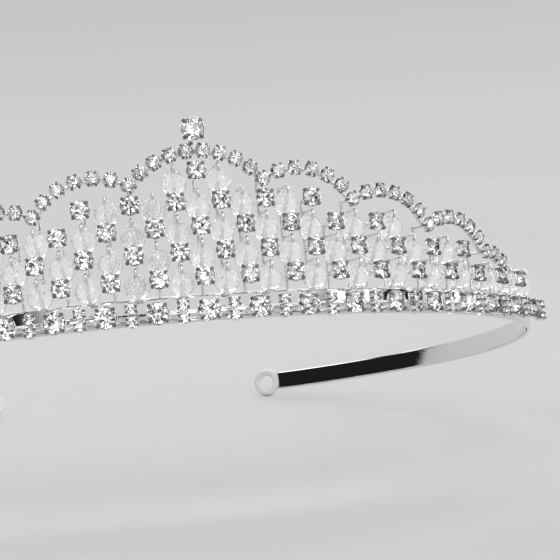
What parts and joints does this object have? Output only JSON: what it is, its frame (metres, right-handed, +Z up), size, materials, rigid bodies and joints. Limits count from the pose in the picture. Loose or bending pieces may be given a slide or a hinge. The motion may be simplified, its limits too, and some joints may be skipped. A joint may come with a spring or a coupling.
{
  "type": "bridal tiara",
  "caption": "Open sprung headband with hairpin loops, carrying a stone-set base row and a wired wall of faceted glass beads and claw-set stones under a scalloped stone chain.",
  "frame": {"origin": "bottom centre of the part's box, on the surface that the end loops rest on", "axes": "+Z up, +Y from the jewelled front towards the open ends, so the front faces -Y; +X to the right when looking along +Y"},
  "size_m": [0.1326, 0.1419, 0.0577],
  "materials": {
    "polished_strip": "mirror polished plate",
    "loop_wire": "bright white plate",
    "bright_wire": "bright drawn wire",
    "claw_metal": "bright plated cups and claws",
    "cut_stone": "clear foil-backed brilliant",
    "glass_bead": "clear faceted glass"
  },
  "bodies": {
    "root": {"headband": "polished_strip", "end_loop_left": "loop_wire", "end_loop_right": "loop_wire", "rail": "bright_wire", "rail_posts": "bright_wire", "base_settings": "claw_metal", "base_stones": "cut_stone", "pair_settings": "claw_metal", "pair_stones": "cut_stone", "uprights": "bright_wire", "top_stem": "bright_wire", "top_setting": "claw_metal", "top_stone": "cut_stone", "beads_a": "glass_bead", "hooks_a": "bright_wire", "settings_a": "claw_metal", "stones_a": "cut_stone", "beads_b": "glass_bead", "hooks_b": "bright_wire", "settings_b": "claw_metal", "stones_b": "cut_stone", "beads_c": "glass_bead", "hooks_c": "bright_wire", "settings_c": "claw_metal", "stones_c": "cut_stone", "beads_d": "glass_bead", "hooks_d": "bright_wire", "settings_d": "claw_metal", "stones_d": "cut_stone", "beads_e": "glass_bead", "hooks_e": "bright_wire", "settings_e": "claw_metal", "stones_e": "cut_stone", "scallop_wire_middle": "bright_wire", "chain_settings_middle": "claw_metal", "chain_stones_middle": "cut_stone", "scallop_wire_second": "bright_wire", "chain_settings_second": "claw_metal", "chain_stones_second": "cut_stone", "scallop_wire_third": "bright_wire", "chain_settings_third": "claw_metal", "chain_stones_third": "cut_stone", "scallop_wire_fourth": "bright_wire", "chain_settings_fourth": "claw_metal", "chain_stones_fourth": "cut_stone", "scallop_wire_end": "bright_wire", "chain_settings_end": "claw_metal", "chain_stones_end": "cut_stone"}
  },
  "joints": []
}
